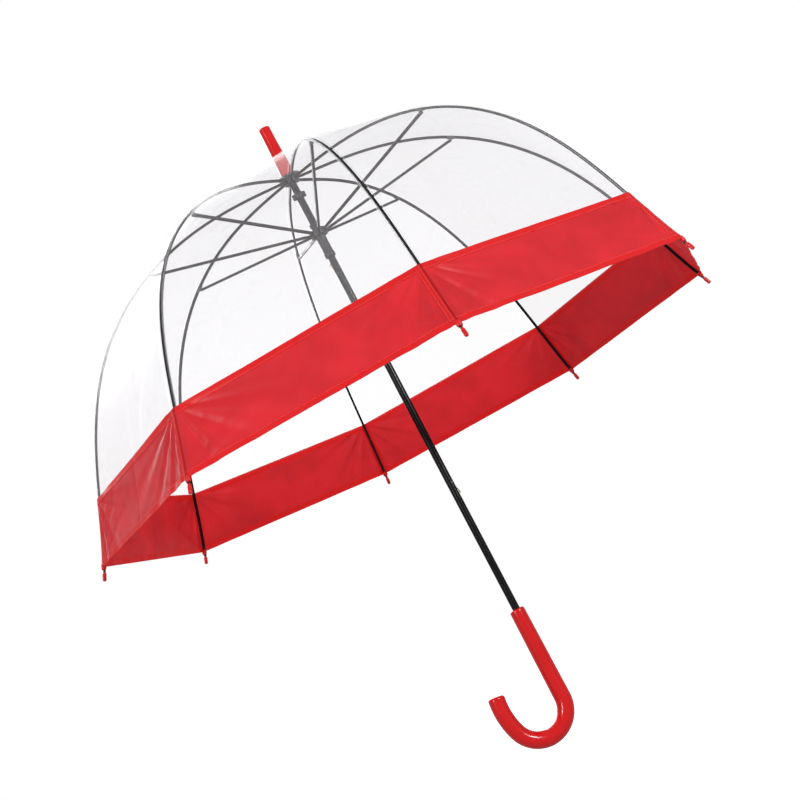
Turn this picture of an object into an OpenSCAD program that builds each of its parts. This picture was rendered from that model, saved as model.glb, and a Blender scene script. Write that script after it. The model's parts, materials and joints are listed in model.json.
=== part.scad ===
// Dome-shaped stick umbrella with eight ribs, a clear film canopy and a coloured border.
// It stands open, with +Z up the shaft and the origin in the middle of the handle's grip.

/* [Canopy] */
// Length of a rib from its hinge to the canopy's edge
rib_length = 605; // [585:1:620]
// Width of the coloured border, measured along a rib
border_w = 84; // [60:1:110]
// Thickness of the clear film
film_t = 0.3; // [0.25:0.05:0.5]
// Thickness of the hemmed border
border_t = 0.6; // [0.4:0.1:0.8]

/* [Frame] */
// Height of the rib hinges above the middle of the grip
hub_z = 690; // [660:1:720]
// Width and depth of a rib's channel
rib_w = 3; // [2.8:0.1:3.2]
// Width of a stretcher's channel
stretcher_w = 3.2; // [3:0.1:3.4]
// Radius of the circle that the rib hinges and stretcher hinges lie on
pivot_r = 8.5; // [8.4:0.1:8.8]
// Place of the stretcher hinge along a rib, as a share of its length
joint_share = 0.356; // [0.33:0.005:0.38]
// Diameter of a rib tip
tip_d = 4.8; // [4.6:0.1:5.2]

/* [Shaft] */
// Outer diameter of the shaft tube
shaft_d = 9.6; // [9.6:0.1:10]
// Wall of the shaft tube
shaft_wall = 0.7; // [0.6:0.1:0.8]
// Length of the ferrule above the rib hinges
ferrule_h = 79; // [70:1:90]
// Diameter of the ferrule's straight end
ferrule_d = 15.4; // [15:0.1:16]

/* [Handle] */
// Diameter of the handle where the shaft enters it
handle_top_d = 19.2; // [18:0.1:20]
// Diameter of the handle round its bend
handle_d = 21.4; // [20:0.1:22]
// Radius of the bend, to the middle of the handle
bend_r = 36; // [34:0.1:42]
// Radius of the wider curve at the free end
free_end_r = 92; // [80:1:100]

/* [Hidden] */
ribs = 8;
half_turn = 180 / ribs;
// The canopy is drawn in straight steps along a rib
steps = 36;
// Slope of a rib in degrees: these three terms times s, s squared and s cubed, with s from 0 to 1
bend_terms = [7, 256, -197];
// Distances inwards from the canopy: a rib's middle, and its outer and inner faces
rib_gap = 1.2;
rib_in = rib_gap + rib_w;
rib_mid = rib_gap + rib_w / 2;
// Distance inwards from the canopy to the stretcher hinge
joint_in = 7.2;
canopy_gap = 0.3;
// Gap between the two half panels of a piece, over its rib
seam_gap = 0.1;
film_start_r = 12;
tip_from = 5.2;
tip_to = 17.2;
fit = 0.05;
wire_r = 0.5;
blade_t = 1.8;
slot_w = 2.4;
eye_r = 1.4;
// The wire curves a little within an eye, so the eye's bore is wider than the wire by two fits
eye_bore = wire_r + 2 * fit;
eye_reach = 5.5;
shaft_r = shaft_d / 2;
bore_r = shaft_r + fit;
ferrule_r = ferrule_d / 2;
ferrule_base_r = 9.2;
handle_top_z = 67;
handle_bend_z = -52.5;
bend_angle = 160;
free_angle = 29.5;
shaft_foot_z = 1;
shaft_head_z = hub_z + 60;
notch_r = 10.2;
notch_low = -5;
notch_high = 4;
washer_z = 4.3;
washer_t = 1.2;
crown_r = 11.5;
sleeve_r = 6.5;
flange_r = 7.2;
spigot_r = 1.2;
spigot_to = tip_to - 4;
rivet_r = 1;
catch_reach = 2.3;
catch_l = 16;
catch_t = 1.6;
catch_pivot_x = 2;
top_catch_z = hub_z - 140;
bottom_catch_z = hub_z - 447;
fine = 64;

function slope(s) = bend_terms[0] * s + bend_terms[1] * pow(s, 2) + bend_terms[2] * pow(s, 3);
// Radius and height of the canopy over a rib after i steps, from the hinge circle outwards
function canopy_r(i) = i <= 0 ? pivot_r
    : canopy_r(i - 1) + cos(slope((i - 0.5) / steps)) * rib_length / steps;
function canopy_z(i) = i <= 0 ? rib_mid
    : canopy_z(i - 1) - sin(slope((i - 0.5) / steps)) * rib_length / steps;
line_r = [for (i = [0:steps]) canopy_r(i)];
line_z = [for (i = [0:steps]) canopy_z(i)];
// A point of the line at share s, moved inwards by the given distance
function at_s(s, list) = lookup(s * steps, [for (i = [0:steps]) [i, list[i]]]);
function place(s, inwards) = [
    at_s(s, line_r) - sin(slope(s)) * inwards,
    at_s(s, line_z) - cos(slope(s)) * inwards
];
function shares(from, to) = concat(
    [from], [for (i = [0:steps]) if (i / steps > from + 0.004 && i / steps < to - 0.004) i / steps], [to]
);
function band(from, to, outer, inner) = concat(
    [for (s = shares(from, to)) place(s, outer)],
    [for (s = reverse(shares(from, to))) place(s, inner)]
);
function reverse(list) = [for (i = [len(list) - 1:-1:0]) list[i]];
joint_at = place(joint_share, joint_in);
border_from = 1 - border_w / rib_length;
film_from = (film_start_r - pivot_r) / rib_length;
stretcher_l = norm([joint_at[0] - pivot_r, joint_at[1]]);
stretcher_tilt = atan2(-joint_at[1], joint_at[0] - pivot_r);
runner_z = hub_z + 2 * joint_at[1];
rim_slope = slope(1);

function names(word) = [for (k = [1:ribs]) str(word, "_", k)];

// Puts a shape drawn in the plane of the first rib into the plane of rib k
module at_rib(k) {
    translate([0, 0, hub_z])
        rotate([0, 0, (k - 1) * 2 * half_turn])
            children();
}

// A plate of thickness t in the plane of a rib, from an outline of radius and height
module rib_plate(t) {
    rotate([90, 0, 0])
        linear_extrude(t, center = true)
            children();
}

// A pin along the hinge line of the first rib
module cross_pin(r, l) {
    rotate([90, 0, 0])
        cylinder(r = r, h = l, center = true, $fn = 32);
}

// A ring of wire that the eyes of the ribs or stretchers turn on
module hinge_wire(r) {
    rotate_extrude($fn = fine)
        translate([pivot_r, 0])
            circle(r, $fn = 32);
}

module hinge_slots(inner, outer, low, high) {
    for (k = [0:ribs - 1])
        rotate([0, 0, k * 2 * half_turn])
            translate([inner, -slot_w / 2, low])
                cube([outer - inner, slot_w, high - low]);
}

module shaft_tube() {
    closed_head = 3;
    color("#141414")
        difference() {
            translate([0, 0, shaft_foot_z])
                cylinder(r = shaft_r, h = shaft_head_z - shaft_foot_z, $fn = fine);
            cylinder(r = shaft_r - shaft_wall, h = shaft_head_z - closed_head, $fn = fine);
            translate([0, 0, top_catch_z])
                catch_slot();
            translate([0, 0, bottom_catch_z])
                rotate([0, 180, 0])
                    catch_slot();
        }
}

module catch_slot() {
    side_gap = 0.3;
    translate([0, -catch_t / 2 - side_gap, 0.8])
        cube([shaft_r + 1, catch_t + 2 * side_gap, catch_l + 1]);
    translate([catch_pivot_x, 0, 0])
        cross_pin(wire_r + fit, shaft_d);
}

module catch_pins() {
    color("silver")
        for (place = [[catch_pivot_x, top_catch_z], [-catch_pivot_x, bottom_catch_z]])
            translate([place[0], 0, place[1]])
                cross_pin(wire_r, 2 * shaft_r - 1.2);
}

// A sprung lever with a square shoulder at its free end and a ramp on its outside
module catch_lever() {
    shoulder_x = shaft_r + catch_reach - catch_pivot_x;
    difference() {
        union() {
            rib_plate(catch_t)
                polygon([
                    [-0.9, 0], [-0.5, catch_l], [shoulder_x - 0.4, catch_l], [shoulder_x, catch_l - 0.5],
                    [shoulder_x, catch_l - 2.5], [1.9, 3], [1.2, 0]
                ]);
            cross_pin(eye_r, catch_t);
        }
        cross_pin(wire_r + fit, catch_t + 1);
    }
}

module top_catch() {
    color("#a09a8c")
        translate([catch_pivot_x, 0, top_catch_z])
            catch_lever();
}

module bottom_catch() {
    color("#a09a8c")
        translate([-catch_pivot_x, 0, bottom_catch_z])
            rotate([0, 180, 0])
                catch_lever();
}

module ferrule() {
    straight = 24;
    edge = 1.6;
    foot = washer_z + washer_t + fit;
    color("#d81f22")
        translate([0, 0, hub_z])
            difference() {
                rotate_extrude($fn = fine)
                    union() {
                        polygon([
                            [0, foot], [ferrule_base_r, foot], [ferrule_base_r, foot + 2],
                            [ferrule_r, ferrule_h - straight], [ferrule_r, ferrule_h - edge],
                            [ferrule_r - edge, ferrule_h], [0, ferrule_h]
                        ]);
                        translate([ferrule_r - edge, ferrule_h - edge])
                            intersection() {
                                circle(edge, $fn = 32);
                                square(edge);
                            }
                    }
                translate([0, 0, foot - 1])
                    cylinder(r = bore_r, h = shaft_head_z - hub_z - foot + 1.1, $fn = fine);
            }
}

module top_washer() {
    overlap = 3;
    color("#202020")
        translate([0, 0, hub_z + washer_z])
            difference() {
                cylinder(r = film_start_r + overlap, h = washer_t, $fn = fine);
                translate([0, 0, -1])
                    cylinder(r = bore_r, h = washer_t + 2, $fn = fine);
            }
}

module notch() {
    color("#1c1c1e")
        translate([0, 0, hub_z])
            difference() {
                translate([0, 0, notch_low])
                    cylinder(r = notch_r, h = notch_high - notch_low, $fn = fine);
                translate([0, 0, notch_low - 1])
                    cylinder(r = bore_r, h = notch_high - notch_low + 2, $fn = fine);
                hinge_slots(pivot_r - eye_r - 0.5, notch_r + 1, notch_low - 1, notch_high + 1);
                hinge_wire(wire_r + fit);
            }
}

module notch_wire() {
    color("silver")
        translate([0, 0, hub_z])
            hinge_wire(wire_r);
}

// A small sleeve with two wings, which stops the runner below the notch
module stop_collar() {
    h = 7;
    body_r = 6.2;
    wing_x = 9.2;
    wing_w = 5;
    below_hub = 24;
    color("#232326")
        translate([0, 0, hub_z - below_hub])
            difference() {
                union() {
                    cylinder(r = body_r, h = h, center = true, $fn = fine);
                    cube([2 * (wing_x - wing_w / 2), wing_w, h], center = true);
                    for (side = [-1, 1])
                        translate([side * (wing_x - wing_w / 2), 0, 0])
                            cylinder(r = wing_w / 2, h = h, center = true, $fn = 48);
                }
                cylinder(r = bore_r, h = h + 2, center = true, $fn = fine);
            }
}

// The runner's heights are counted from the stretcher hinges in its crown
module runner() {
    crown_low = -4.5;
    crown_high = 4.5;
    sleeve_low = -35;
    sleeve_top = 4;
    flange_h = 5;
    neck_r = 5.9;
    neck_top = 14;
    tab_x = 4.6;
    tab_l = 2.2;
    tab_w = 2.4;
    tab_h = 5;
    color("#1c1c1e")
        translate([0, 0, runner_z])
            difference() {
                union() {
                    translate([0, 0, crown_low])
                        cylinder(r = crown_r, h = crown_high - crown_low, $fn = fine);
                    translate([0, 0, sleeve_low])
                        cylinder(r = sleeve_r, h = sleeve_top - sleeve_low, $fn = fine);
                    translate([0, 0, sleeve_low])
                        cylinder(r = flange_r, h = flange_h, $fn = fine);
                    translate([0, 0, sleeve_top])
                        cylinder(r = neck_r, h = neck_top - sleeve_top, $fn = fine);
                    translate([tab_x, -tab_w / 2, neck_top - tab_h])
                        cube([tab_l, tab_w, tab_h]);
                }
                translate([0, 0, sleeve_low - 1])
                    cylinder(r = bore_r, h = neck_top - sleeve_low + 2, $fn = fine);
                hinge_slots(pivot_r - eye_r - 0.5, crown_r + 1, crown_low - 1, crown_high + 1);
                hinge_wire(wire_r + fit);
            }
}

// The runner's wire is open where each stretcher's eye slides through its slot
module runner_wire() {
    color("silver")
        translate([0, 0, runner_z])
            difference() {
                hinge_wire(wire_r);
                hinge_slots(0, crown_r + 1, -1, 1);
            }
}

// A straight taper, a round bend and a wider curve that leads back up to the free end
module handle() {
    bend_end = [bend_r * (1 - cos(bend_angle)), handle_bend_z - bend_r * sin(bend_angle)];
    free_centre = bend_end + free_end_r * [cos(bend_angle), sin(bend_angle)];
    last_angle = bend_angle + free_angle;
    tube_r = handle_d / 2;
    free_r = tube_r - 0.05;
    edge = 2.5;
    chamfer = 1.2;
    top_r = handle_top_d / 2;
    color("#d81f22")
        difference() {
            union() {
                translate([0, 0, handle_bend_z])
                    cylinder(r1 = tube_r, r2 = top_r, h = handle_top_z - handle_bend_z - chamfer, $fn = fine);
                translate([0, 0, handle_top_z - chamfer])
                    cylinder(r1 = top_r, r2 = top_r - chamfer, h = chamfer, $fn = fine);
                translate([bend_r, 0, handle_bend_z])
                    handle_arc(bend_r, tube_r, 0, bend_angle);
                translate([bend_end[0], 0, bend_end[1]])
                    sphere(tube_r - 0.2, $fn = fine);
                translate([free_centre[0], 0, free_centre[1]])
                    handle_arc(free_end_r, free_r, bend_angle, free_angle);
                translate([
                    free_centre[0] - free_end_r * cos(last_angle), 0,
                    free_centre[1] - free_end_r * sin(last_angle)
                ])
                    rotate([0, 180 - last_angle, 0])
                        rotate_extrude($fn = fine)
                            union() {
                                square([free_r - edge, edge]);
                                translate([free_r - edge, 0])
                                    intersection() {
                                        circle(edge, $fn = 32);
                                        square(edge);
                                    }
                            }
            }
            cylinder(r = bore_r, h = handle_top_z + 1, $fn = fine);
        }
}

// Part of a round bend in the handle's plane, from the shaft's side and below its centre
module handle_arc(r, tube_r, from, angle) {
    rotate([90, 0, 0])
        rotate([0, 0, 180 + from])
            rotate_extrude(angle = angle, $fn = 2 * fine)
                translate([r, 0])
                    circle(tube_r, $fn = fine);
}

// A channel that is open towards the inside, with a flat eye at the hub and a round spigot at the tip
module rib(k) {
    wall = 0.6;
    web = 0.8;
    closed_start = 4;
    closed_end = 8;
    from = eye_reach / rib_length;
    color("#161618")
        at_rib(k)
            difference() {
                union() {
                    rib_plate(rib_w)
                        polygon(band(from, 1, rib_gap, rib_in));
                    rib_plate(blade_t)
                        polygon([
                            [pivot_r, -eye_r], [pivot_r + eye_reach + 1, -eye_r],
                            [pivot_r + eye_reach + 1, eye_r], [pivot_r, eye_r]
                        ]);
                    translate([pivot_r, 0, 0])
                        cross_pin(eye_r, blade_t);
                    at_tip()
                        rib_end();
                }
                rib_plate(rib_w - 2 * wall)
                    polygon(band(
                        from + closed_start / rib_length, 1 - closed_end / rib_length,
                        rib_gap + web, rib_in + 1
                    ));
                translate([pivot_r, 0, 0])
                    cross_pin(eye_bore, blade_t + 1);
            }
}

// Puts a shape on the middle line of the rib's end, with +Z along the rib and away from the hub
module at_tip() {
    end = place(1, rib_mid);
    translate([end[0], 0, end[1]])
        rotate([0, 90 + rim_slope, 0])
            children();
}

module rib_end() {
    translate([-rib_w / 2, -rib_w / 2, -0.2])
        cube([rib_w, rib_w, tip_from + 0.2]);
    cylinder(r = spigot_r, h = spigot_to, $fn = 32);
}

module rib_tip(k) {
    r = tip_d / 2;
    color("#e0272a")
        at_rib(k)
            at_tip()
                difference() {
                    union() {
                        translate([0, 0, tip_from + fit])
                            cylinder(r = r, h = tip_to - tip_from - r, $fn = 48);
                        translate([0, 0, tip_to - r])
                            sphere(r, $fn = 48);
                    }
                    translate([0, 0, tip_from - 1])
                        cylinder(r = spigot_r + fit, h = spigot_to - tip_from + 1.2, $fn = 32);
                }
}

// A clip round the rib with a tongue that carries the stretcher's rivet
module rib_joint(k) {
    clip_l = 9;
    clip_wall = 0.6;
    clip_fit = 0.1;
    clip_w = rib_w + 2 * (clip_wall + clip_fit);
    clip_h = rib_w - 0.2;
    tongue_r = 1.8;
    tongue_t = 1.6;
    rivet_l = 4.9;
    head_r = 1.7;
    head_t = 0.6;
    to_rib = joint_in - rib_in;
    color("#6f7276")
        at_rib(k)
            translate([joint_at[0], 0, joint_at[1]])
                rotate([0, slope(joint_share), 0])
                    union() {
                        difference() {
                            translate([-clip_l / 2, -clip_w / 2, to_rib - clip_wall - clip_fit])
                                cube([clip_l, clip_w, clip_h]);
                            translate([-clip_l, -rib_w / 2 - clip_fit, to_rib - clip_fit])
                                cube([2 * clip_l, rib_w + 2 * clip_fit, rib_w + 1]);
                        }
                        cross_pin(tongue_r, tongue_t);
                        translate([-tongue_r, -tongue_t / 2, 0])
                            cube([2 * tongue_r, tongue_t, to_rib - clip_wall / 2]);
                        cross_pin(rivet_r, rivet_l);
                        for (side = [-1, 1])
                            translate([0, side * (rivet_l - head_t / 2) / 2, 0])
                                cross_pin(head_r, head_t);
                    }
}

// A channel from the rib's rivet, at its outer end, to the runner, where it ends in a flat eye
module stretcher(k) {
    depth = 3;
    wall = 0.6;
    web = 0.8;
    fork_l = 9;
    channel_from = 5;
    ear_t = 0.9;
    ear_from = 0.95;
    blade_l = 9;
    color("#26272a")
        at_rib(k)
            translate([joint_at[0], 0, joint_at[1]])
                rotate([0, 180 - stretcher_tilt, 0])
                    mirror([0, 0, 1])
                        difference() {
                            union() {
                                translate([channel_from, -stretcher_w / 2, -depth / 2])
                                    cube([stretcher_l - blade_l - channel_from, stretcher_w, depth]);
                                translate([stretcher_l - blade_l - 1, -blade_t / 2, -eye_r])
                                    cube([blade_l + 1, blade_t, 2 * eye_r]);
                                translate([stretcher_l, 0, 0])
                                    cross_pin(eye_r, blade_t);
                                for (side = [-1, 1])
                                    translate([0, side * (ear_from + ear_t / 2), 0]) {
                                        cross_pin(depth / 2, ear_t);
                                        translate([0, -ear_t / 2, -depth / 2])
                                            cube([fork_l, ear_t, depth]);
                                    }
                            }
                            translate([channel_from + 2, -stretcher_w / 2 + wall, -depth / 2 - 1])
                                cube([
                                    stretcher_l - blade_l - 2 * channel_from,
                                    stretcher_w - 2 * wall, depth - web + 1
                                ]);
                            cross_pin(rivet_r + fit, 6);
                            translate([stretcher_l, 0, 0])
                                cross_pin(eye_bore, 3);
                        }
}

// A point at distance u from the rib, along the straight line across a panel
function panel_point(p, u) = [p[0] - u * sin(half_turn), u * cos(half_turn), p[1]];
function panel_row(s, t) = let (
    out = place(s, -t / 2), in = place(s, t / 2),
    far_out = out[0] * sin(half_turn) - canopy_gap / 2, far_in = in[0] * sin(half_turn) - canopy_gap / 2
) [
    panel_point(out, seam_gap / 2), panel_point(out, far_out),
    panel_point(in, far_in), panel_point(in, seam_gap / 2)
];

// Half a panel on each side of a rib: flat across, curved along the rib, and split at the panels' middles
module canopy_piece(from, to, t) {
    rows = shares(from, to);
    last = 4 * (len(rows) - 1);
    for (side = [0, 1])
        mirror([0, side, 0])
            polyhedron(
                points = [for (s = rows) each panel_row(s, t)],
                faces = concat(
                    [[3, 2, 1, 0]],
                    [
                        for (i = [0:4:last - 4])
                            for (j = [0:3])
                                [i + j, i + (j + 1) % 4, i + (j + 1) % 4 + 4, i + j + 4]
                    ],
                    [[last, last + 1, last + 2, last + 3]]
                ),
                convexity = 4
            );
}

module film(k) {
    color("#e8eef0", 0.3)
        at_rib(k)
            canopy_piece(film_from, border_from - 0.1 / rib_length, film_t);
}

module border(k) {
    color("#d8262c")
        at_rib(k)
            canopy_piece(border_from, 1, border_t);
}

shaft_tube();
ferrule();
top_washer();
notch();
notch_wire();
stop_collar();
catch_pins();
handle();
runner();
runner_wire();
top_catch();
bottom_catch();
for (k = [1:ribs]) {
    rib(k);
    rib_tip(k);
    rib_joint(k);
    stretcher(k);
    film(k);
    border(k);
}
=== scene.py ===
"""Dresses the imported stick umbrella: film, hemmed border, handle, ferrule, rib tips, fittings and stage."""
import json
import math

import bpy
import numpy as np
from bpy.props import FloatProperty, FloatVectorProperty, IntProperty, PointerProperty
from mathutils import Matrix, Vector

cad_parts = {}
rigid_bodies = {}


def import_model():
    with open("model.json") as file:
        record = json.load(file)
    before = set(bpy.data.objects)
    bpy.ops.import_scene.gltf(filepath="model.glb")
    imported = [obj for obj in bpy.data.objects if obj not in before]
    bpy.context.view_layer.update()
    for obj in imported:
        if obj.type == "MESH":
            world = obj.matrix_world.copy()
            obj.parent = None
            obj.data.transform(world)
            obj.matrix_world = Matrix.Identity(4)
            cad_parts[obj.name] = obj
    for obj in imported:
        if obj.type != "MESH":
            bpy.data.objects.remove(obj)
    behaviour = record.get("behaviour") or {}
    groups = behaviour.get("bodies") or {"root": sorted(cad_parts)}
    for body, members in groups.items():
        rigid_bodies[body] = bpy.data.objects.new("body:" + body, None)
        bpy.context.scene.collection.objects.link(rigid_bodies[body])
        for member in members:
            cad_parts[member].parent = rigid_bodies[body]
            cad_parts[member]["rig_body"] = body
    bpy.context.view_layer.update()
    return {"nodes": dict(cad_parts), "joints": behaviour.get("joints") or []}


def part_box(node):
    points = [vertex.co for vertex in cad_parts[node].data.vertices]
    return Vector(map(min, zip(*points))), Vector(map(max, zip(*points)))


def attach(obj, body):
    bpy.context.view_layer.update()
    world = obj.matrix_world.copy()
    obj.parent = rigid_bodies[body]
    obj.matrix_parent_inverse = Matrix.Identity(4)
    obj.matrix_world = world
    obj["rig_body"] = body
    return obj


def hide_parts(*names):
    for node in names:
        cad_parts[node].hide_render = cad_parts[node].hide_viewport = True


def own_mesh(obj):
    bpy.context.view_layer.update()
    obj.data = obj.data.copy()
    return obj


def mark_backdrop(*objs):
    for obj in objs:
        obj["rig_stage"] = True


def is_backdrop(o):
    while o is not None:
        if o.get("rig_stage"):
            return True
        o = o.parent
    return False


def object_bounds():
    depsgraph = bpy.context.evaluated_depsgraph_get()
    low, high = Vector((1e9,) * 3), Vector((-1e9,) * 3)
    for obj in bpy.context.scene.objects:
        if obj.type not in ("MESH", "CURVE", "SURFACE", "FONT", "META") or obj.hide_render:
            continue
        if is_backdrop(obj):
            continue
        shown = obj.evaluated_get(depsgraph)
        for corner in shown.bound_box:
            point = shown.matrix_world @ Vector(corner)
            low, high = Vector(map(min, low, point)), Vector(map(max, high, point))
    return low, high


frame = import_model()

bl_info = {
    "name": "Dome umbrella",
    "version": (1, 0, 0),
    "blender": (4, 5, 0),
    "location": "3D View > Sidebar > Umbrella",
    "description": "Builds the looks of a dome umbrella around its packed frame",
    "category": "Add Mesh",
}

RIB_JOINTS = [joint for joint in frame["joints"] if joint["name"].startswith("rib_fold_")]
RIBS = len(RIB_JOINTS)
HUB_RADIUS = RIB_JOINTS[0]["pos_m"][0]
HUB_HEIGHT = RIB_JOINTS[0]["pos_m"][2]
HALF_TURN = math.pi / RIBS
BORE_CLEARANCE = 0.00005
RIB_LINE_DEPTH = 0.0027
MIDDLE = (0, 0, 0.35)
# name, place, point it shines at, width and length, watts
LIGHTS = (
    ("key light", (-1.3, 2.1, 0.85), MIDDLE, (0.42, 0.6), 45),
    ("side light", (1.9, 1.55, 0.95), (0, 0, 0.75), (0.3, 1.1), 36),
    ("back light", (0.3, -2.0, 1.6), MIDDLE, (1.8, 1.8), 64),
)


# ---------------------------------------------------------------- settings

class CanopySettings(bpy.types.PropertyGroup):
    rib_length: FloatProperty(
        name="Rib length", description="From the hinge to the canopy's edge", default=0.605, unit="LENGTH")
    slope_terms: FloatVectorProperty(
        name="Slope terms", size=3, default=(7, 256, -197),
        description="Slope in degrees: these times s, s squared and s cubed, s from 0 to 1")
    line_offset: FloatProperty(
        name="Line offset", description="Height of the canopy over the rib hinges", default=0.0027,
        unit="LENGTH")
    film_start: FloatProperty(
        name="Film start", description="Radius at which the film starts, under the washer", default=0.012,
        unit="LENGTH")
    film_thickness: FloatProperty(
        name="Film thickness", description="Thickness of the clear film", default=0.0003, unit="LENGTH")
    film_sag: FloatProperty(
        name="Film sag", description="How far the film is drawn in between two ribs", default=0.0022,
        unit="LENGTH")
    weld_width: FloatProperty(
        name="Weld width", description="Half width of the welded strip over a rib", default=0.0032,
        unit="LENGTH")
    border_width: FloatProperty(
        name="Border width", description="Width of the border along a rib", default=0.084, unit="LENGTH")
    border_thickness: FloatProperty(
        name="Border thickness", description="Thickness of the border's single layer", default=0.0004,
        unit="LENGTH")
    hem_width: FloatProperty(
        name="Hem width", description="Width of the folded hems at the border's edges", default=0.0085,
        unit="LENGTH")
    hem_rise: FloatProperty(
        name="Hem rise", description="How far a doubled layer stands proud", default=0.00035, unit="LENGTH")
    seam_width: FloatProperty(
        name="Seam width", description="Width of the overlap beside a rib", default=0.0075, unit="LENGTH")
    wrinkle: FloatProperty(
        name="Wrinkle height", description="Height of the creases that fan out from the corners",
        default=0.0017, unit="LENGTH")
    film_fold: FloatProperty(
        name="Film fold", description="Share of its width that the film keeps when closed", default=0.078,
        subtype="FACTOR")
    border_fold: FloatProperty(
        name="Border fold", description="Share of its width that the border keeps when closed",
        default=0.063, subtype="FACTOR")
    stitch_length: FloatProperty(
        name="Stitch length", description="Length of one stitch", default=0.0021, unit="LENGTH")
    stitch_gap: FloatProperty(
        name="Stitch gap", description="Gap between two stitches", default=0.0008, unit="LENGTH")
    film_colour: FloatVectorProperty(
        name="Film", description="Tint of the clear film", subtype="COLOR", size=4,
        default=(0.992, 0.990, 0.994, 1))
    border_colour: FloatVectorProperty(
        name="Border", description="Colour of the border", subtype="COLOR", size=4,
        default=(0.63, 0.028, 0.039, 1))


class HandleSettings(bpy.types.PropertyGroup):
    top_height: FloatProperty(
        name="Top height", description="Height of the handle's top end", default=0.067, unit="LENGTH")
    top_radius: FloatProperty(
        name="Top radius", description="Radius of the handle's top end", default=0.0096, unit="LENGTH")
    bend_height: FloatProperty(
        name="Bend height", description="Height at which the bend starts", default=-0.0525, unit="LENGTH")
    radius: FloatProperty(
        name="Radius", description="Radius of the handle round its bend", default=0.0107, unit="LENGTH")
    bend_radius: FloatProperty(
        name="Bend radius", description="Radius of the bend's middle line", default=0.036, unit="LENGTH")
    bend_angle: FloatProperty(
        name="Bend angle", description="Angle of the round bend", default=math.radians(160),
        subtype="ANGLE")
    end_radius: FloatProperty(
        name="End radius", description="Radius of the curve at the free end", default=0.092, unit="LENGTH")
    end_angle: FloatProperty(
        name="End angle", description="Angle of the curve at the free end", default=math.radians(28.9),
        subtype="ANGLE")
    top_edge: FloatProperty(
        name="Top edge", description="Rounding of the handle's top end", default=0.003, unit="LENGTH")
    end_edge: FloatProperty(
        name="End edge", description="Rounding of the handle's free end", default=0.0036, unit="LENGTH")
    colour: FloatVectorProperty(
        name="Plastic", description="Colour of the handle, ferrule and tips", subtype="COLOR", size=4,
        default=(0.48, 0.004, 0.005, 1))


class StageSettings(bpy.types.PropertyGroup):
    location: FloatVectorProperty(
        name="Camera place", description="Where the camera stands", subtype="TRANSLATION", size=3,
        default=(0.3681, 1.8894, 0.0657))
    rotation: FloatVectorProperty(
        name="Camera turn", description="How the camera is turned", subtype="EULER", size=3,
        default=(math.radians(100.02), math.radians(27.35), math.radians(173.83)))
    lens: FloatProperty(
        name="Lens", description="Focal length in millimetres", default=69.1, unit="CAMERA")
    daylight: FloatProperty(
        name="Daylight", description="Strength of the pale surroundings", default=0.52)
    floor_size: FloatProperty(
        name="Floor size", description="Side of the floor", default=24, unit="LENGTH")


def canopy_settings():
    return bpy.context.scene.umbrella_canopy


def handle_settings():
    return bpy.context.scene.umbrella_handle


# ---------------------------------------------------------------- canopy shape

def slope_at(share):
    terms = canopy_settings().slope_terms
    return np.radians(terms[0] * share + terms[1] * share ** 2 + terms[2] * share ** 3)


def canopy_line(share):
    """Radius, height and slope of the canopy over a rib, at shares of the rib's length from its hinge."""
    canopy = canopy_settings()
    steps = 800
    reach = 1.02
    middle = (np.arange(steps) + 0.5) / steps * reach
    step = canopy.rib_length * reach / steps
    along = np.linspace(0, reach, steps + 1)
    out = HUB_RADIUS + np.concatenate([[0], np.cumsum(np.cos(slope_at(middle)))]) * step
    down = np.concatenate([[0], np.cumsum(np.sin(slope_at(middle)))]) * step
    height = HUB_HEIGHT + canopy.line_offset - down
    return np.interp(share, along, out), np.interp(share, along, height), slope_at(share)


def film_start_share():
    canopy = canopy_settings()
    return (canopy.film_start - HUB_RADIUS) / canopy.rib_length


def border_start_share():
    canopy = canopy_settings()
    return 1 - canopy.border_width / canopy.rib_length


def fade(value):
    """Rises smoothly from 0 to 1 as value goes from 0 to 1."""
    value = np.clip(value, 0, 1)
    return value * value * (3 - 2 * value)


def ripple(gore, share, part):
    """Soft waves of the stretched sheet between two ribs, which die out at the ribs."""
    golden_angle = 2.399
    turn = gore * golden_angle
    waves = (
        np.sin(9.0 * share + 5.0 * part + turn)
        + 0.7 * np.sin(17.0 * share - 7.0 * part + 2.1 * turn)
        + 0.5 * np.sin(29.0 * share + 13.0 * part + 0.7 * turn)
    )
    return waves * np.sin(np.pi * part)


def fan(gore, down, width, part):
    """Creases that fan out from a panel's corners; down is the distance from a corner along the rib."""
    corner_clear = 0.004
    corner_fade = 0.03
    side_fade = 0.012
    reach = 0.13
    total = 0
    for side, place in enumerate((part, 1 - part)):
        away = np.maximum(place * width, 1e-6)
        distance = np.hypot(away, down)
        angle = np.arctan2(down, away)
        turn = gore * 1.7 + side * 2.3
        creases = np.sin(14 * angle + turn) + 0.4 * np.sin(31 * angle + 1.9 * turn)
        strength = fade((distance - corner_clear) / corner_fade) * fade(away / side_fade)
        total = total + creases * strength * np.exp(-distance / reach)
    return total


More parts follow.
